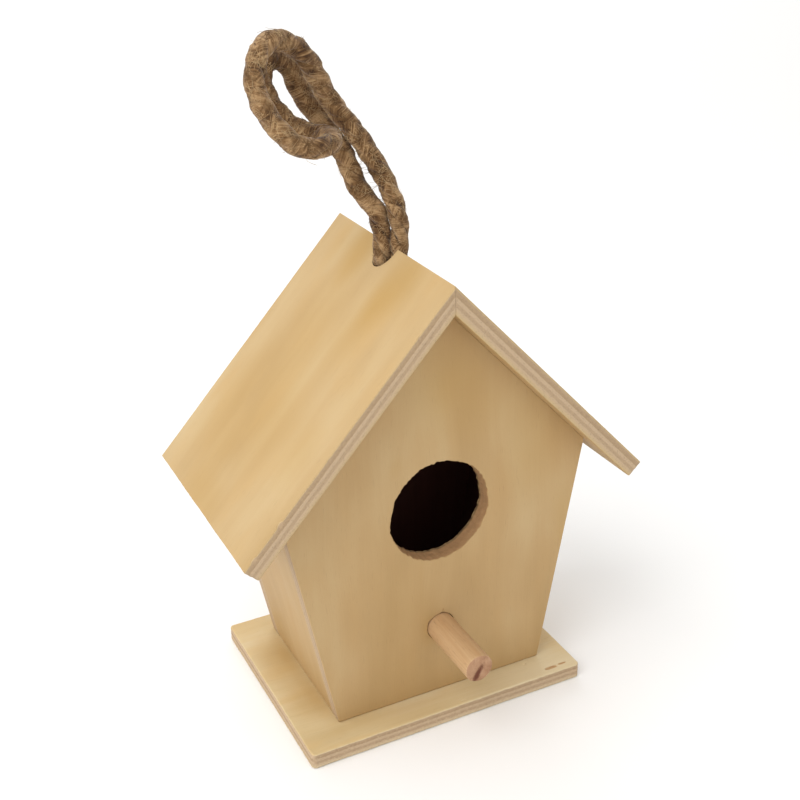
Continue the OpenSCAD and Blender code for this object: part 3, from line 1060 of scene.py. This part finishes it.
# %% Dowel wood: streaks along it, rings and a dark split on its end
def dowel_wood(name, tones, end_tones, split_tone):
    material, tree, shader = new_material(name)
    place = vector_math(tree, "SUBTRACT", object_millimetres(tree), (0, 0, perch_height))
    fibres = patchy(tree, place, (2.4, 0.05, 2.4), 1.0, detail=4.0)
    streaks = patchy(tree, place, (0.45, 0.02, 0.45), 2.0, detail=2.0)
    mixed = math_node(tree, "MULTIPLY_ADD", streaks, 0.55, math_node(tree, "MULTIPLY", fibres, 0.45))
    side = ramp(tree, mixed, [(0.36, tones[0]), (0.50, tones[1]), (0.64, tones[2])])
    dashes = patchy(tree, place, (3.6, 0.35, 3.6), 3.0, detail=1.0)
    side = blend_tones(tree, math_node(tree, "MULTIPLY", fade(tree, dashes, 0.64, 0.76), 0.4), side,
                       toned(0.5, tones[0]))

    # Growth rings are centred off the axis; the split is a dark streak that crosses the middle
    rings_at = vector_math(tree, "SUBTRACT", vector_math(tree, "MULTIPLY", place, (1, 0, 1)), (5.5, 0, 3.0))
    far = math_node(tree, "MULTIPLY_ADD", streaks, 1.2, length_node(tree, rings_at))
    growth = math_node(tree, "SINE", math_node(tree, "MULTIPLY", far, 5.2))
    grit = patchy(tree, place, (3.0, 0.3, 3.0), 4.0, detail=3.0, roughness=0.7)
    blotch = patchy(tree, place, (0.35, 0.0, 0.35), 5.0, detail=2.0)
    end_mix = math_node(tree, "MULTIPLY_ADD", growth, 0.018, math_node(tree, "MULTIPLY", grit, 0.5))
    end_mix = math_node(tree, "MULTIPLY_ADD", blotch, 0.5, end_mix)
    end = ramp(tree, end_mix, [(0.36, end_tones[0]), (0.50, end_tones[1]), (0.66, end_tones[2])])
    spot = vector_math(tree, "SUBTRACT", place, (-0.6, 0, -1.7))
    spot = put(tree, "ShaderNodeVectorRotate", {"Vector": spot, "Angle": math.radians(-30)},
               rotation_type="Y_AXIS").outputs[0]
    spot = vector_math(tree, "MULTIPLY", spot, (1 / 1.15, 0, 1 / 3.9))
    away = length_node(tree, spot)
    away = math_node(tree, "MULTIPLY_ADD", math_node(tree, "SUBTRACT", grit, 0.5), 1.1, away)
    away = math_node(tree, "MULTIPLY_ADD", math_node(tree, "SUBTRACT", blotch, 0.5), 0.7, away)
    split = math_node(tree, "MULTIPLY", fade(tree, away, 1.25, 0.35), 0.95)
    end = blend_tones(tree, split, end, split_tone)
    end_part = fade(tree, shares(tree, place)["Y"], tip_y + 0.35, tip_y + 0.12)
    tree.links.new(blend_tones(tree, end_part, side, end), shader.inputs["Base Color"])
    relief = blend_tones(tree, end_part, fibres, grit)
    bump = put(tree, "ShaderNodeBump", {"Height": relief, "Strength": 0.5, "Distance": 0.00015})
    tree.links.new(bump.outputs[0], shader.inputs["Normal"])
    shader.inputs["Roughness"].default_value = 0.6
    shader.inputs["Specular IOR Level"].default_value = 0.35
    print(f"{name}: {len(tree.nodes)} nodes")
    return material


perch.data.materials.append(dowel_wood(
    "beech_dowel", ((0.48, 0.29, 0.14), (0.52, 0.33, 0.17), (0.56, 0.37, 0.20)),
    ((0.33, 0.165, 0.082), (0.42, 0.23, 0.125), (0.50, 0.30, 0.175)), (0.12, 0.026, 0.007)))
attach(perch, "root")
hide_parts("perch_dowel")

# %% [markdown]
# ## The knot and the loose fibres
# Under the ridge both ends are tied in a stopper knot, which is the same rope wound round itself, so
# the same tree lays it. Jute is hairy: short pale fibres work loose, lie across the strands in every
# direction and blur the lay. They are scattered over the rope's surface, and each one is laid down
# on the nearest strand, because a straight hair would stand off the rope like a bristle.

# %% The knot
knot_low, knot_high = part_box("rope_knot")
knot_middle = (knot_low + knot_high) / 2
coil_turn = np.linspace(0, 2.4 * 2 * math.pi, 60)
coil_inset = 0.60 * rope_diameter
coil_reach = 0.97 * ((knot_high.x - knot_low.x) / 2 - coil_inset)
coil_height = np.linspace(knot_low.z + coil_inset, knot_high.z - coil_inset, 60)
coil = np.column_stack([knot_middle.x + coil_reach * np.cos(coil_turn),
                        knot_middle.y + coil_reach * np.sin(coil_turn), coil_height])
knot = grow("rope_knot_coil", line_mesh("knot_line", coil, 0.95), rope_tree, {"Diameter": rope_diameter})
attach(knot, "root")
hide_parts("rope_knot")


# %% The tree that scatters loose fibres
def fuzz_tree():
    sizes = {"Hairs per square metre": 500000.0, "Longest": 0.0062, "Shortest": 0.0020,
             "Thickness": 0.00005, "Stand off": 0.00007, "Loose share": 0.05, "Rope radius": 0.0030,
             "Along the strand": 0.6, "Curl": 0.9, "Curls per metre": 300.0, "Rise": 0.22,
             "Points": 6, "Seed": 5}
    tree, given = geometry_tree("jute_fuzz", sizes)
    spots = put(tree, "GeometryNodeDistributePointsOnFaces",
                {"Mesh": given["Geometry"], "Density": given["Hairs per square metre"],
                 "Seed": given["Seed"]})
    off_rope = spots.outputs["Normal"]
    strand_way = named(tree, "strand_way", "FLOAT_VECTOR")
    points = noted(tree, spots.outputs["Points"], "off_rope", off_rope, "FLOAT_VECTOR")
    chance = put(tree, "FunctionNodeRandomValue", {2: 0.0, 3: 1.0, "Seed": 8}, data_type="FLOAT").outputs[1]
    calm = math_node(tree, "SUBTRACT", 1.0, given["Loose share"])
    points = noted(tree, points, "looseness", mapped(tree, chance, calm, 1.0, 0.0, 1.0))

    # Most hairs follow their strand roughly, and all start flat on the rope
    anyway = put(tree, "FunctionNodeRandomValue", {0: (-1, -1, -1), 1: (1, 1, 1), "Seed": 3},
                 data_type="FLOAT_VECTOR").outputs[0]
    way = vector_math(tree, "ADD", scaled(tree, strand_way, given["Along the strand"]), anyway)
    rise = put(tree, "ShaderNodeVectorMath", {0: way, 1: off_rope}, operation="DOT_PRODUCT").outputs["Value"]
    flat_way = vector_math(tree, "SUBTRACT", way, scaled(tree, off_rope, rise))
    way = vector_math(tree, "NORMALIZE", flat_way)
    agree = put(tree, "ShaderNodeVectorMath", {0: way, 1: strand_way}, operation="DOT_PRODUCT")
    agree = agree.outputs["Value"]
    crossing = math_node(tree, "SUBTRACT", 1.02, math_node(tree, "MULTIPLY", agree, agree))
    points = noted(tree, points, "bending", math_node(tree, "DIVIDE", crossing, given["Rope radius"]))
    points = noted(tree, points, "way", way, "FLOAT_VECTOR")
    turn = put(tree, "FunctionNodeAlignRotationToVector", {"Vector": way}, axis="Z").outputs[0]
    length = put(tree, "FunctionNodeRandomValue", {2: given["Shortest"], 3: given["Longest"], "Seed": 11},
                 data_type="FLOAT").outputs[1]
    straight = put(tree, "GeometryNodeCurvePrimitiveLine", {"Start": (0, 0, 0), "End": (0, 0, 1)}).outputs[0]
    straight = put(tree, "GeometryNodeResampleCurve",
                   {"Curve": straight, "Count": given["Points"]}).outputs[0]
    hairs = put(tree, "GeometryNodeInstanceOnPoints",
                {"Points": points, "Instance": straight, "Rotation": turn, "Scale": length}).outputs[0]
    hairs = put(tree, "GeometryNodeRealizeInstances", {0: hairs}).outputs[0]

    # Each hair curls, and bends round the rope: the more it crosses the strand, the more it bends
    reach = along_curve(tree)
    curl = even_noise(tree, position(tree), given["Curls per metre"], 1.0, "Color")
    curl = scaled(tree, vector_math(tree, "SUBTRACT", curl, (0.5, 0.5, 0.5)),
                  math_node(tree, "MULTIPLY", reach, given["Curl"]))
    bending = named(tree, "bending")
    round_angle = math_node(tree, "MULTIPLY", reach, bending)
    below = math_node(tree, "SUBTRACT", math_node(tree, "COSINE", round_angle), 1.0)
    drop = math_node(tree, "DIVIDE", below, bending)
    forward = math_node(tree, "DIVIDE", math_node(tree, "SINE", round_angle), bending)
    forward = math_node(tree, "SUBTRACT", forward, reach)
    off_rope = named(tree, "off_rope", "FLOAT_VECTOR")
    shift = vector_math(tree, "ADD", scaled(tree, off_rope, drop),
                        scaled(tree, named(tree, "way", "FLOAT_VECTOR"), forward))
    hairs = shifted(tree, hairs, Offset=vector_math(tree, "ADD", shift, curl))

    # Then it is laid down on the nearest strand; a loose one rises towards its end
    spot = position(tree)
    nearest = put(tree, "GeometryNodeProximity", {0: given["Geometry"], "Sample Position": spot},
                  target_element="FACES").outputs["Position"]
    off = vector_math(tree, "ADD", vector_math(tree, "SUBTRACT", spot, nearest),
                      scaled(tree, off_rope, given["Thickness"]))
    loose_reach = math_node(tree, "MULTIPLY", reach, named(tree, "looseness"))
    rise = math_node(tree, "MULTIPLY_ADD", loose_reach, given["Rise"], given["Stand off"])
    laid = vector_math(tree, "ADD", nearest, scaled(tree, vector_math(tree, "NORMALIZE", off), rise))
    hairs = shifted(tree, hairs, Position=laid)
    section = put(tree, "GeometryNodeCurvePrimitiveCircle", {"Resolution": 3, "Radius": given["Thickness"]})
    hairs = put(tree, "GeometryNodeCurveToMesh",
                {"Curve": hairs, "Profile Curve": section.outputs[0], "Fill Caps": True}).outputs[0]
    finish_tree(tree, hairs, jute_hair)
    print(f"jute_fuzz: {len(tree.nodes)} nodes")
    return tree


loose_fibres = grow("rope_loose_fibres", rope.data.copy(), fuzz_tree(), {})
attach(loose_fibres, "root")
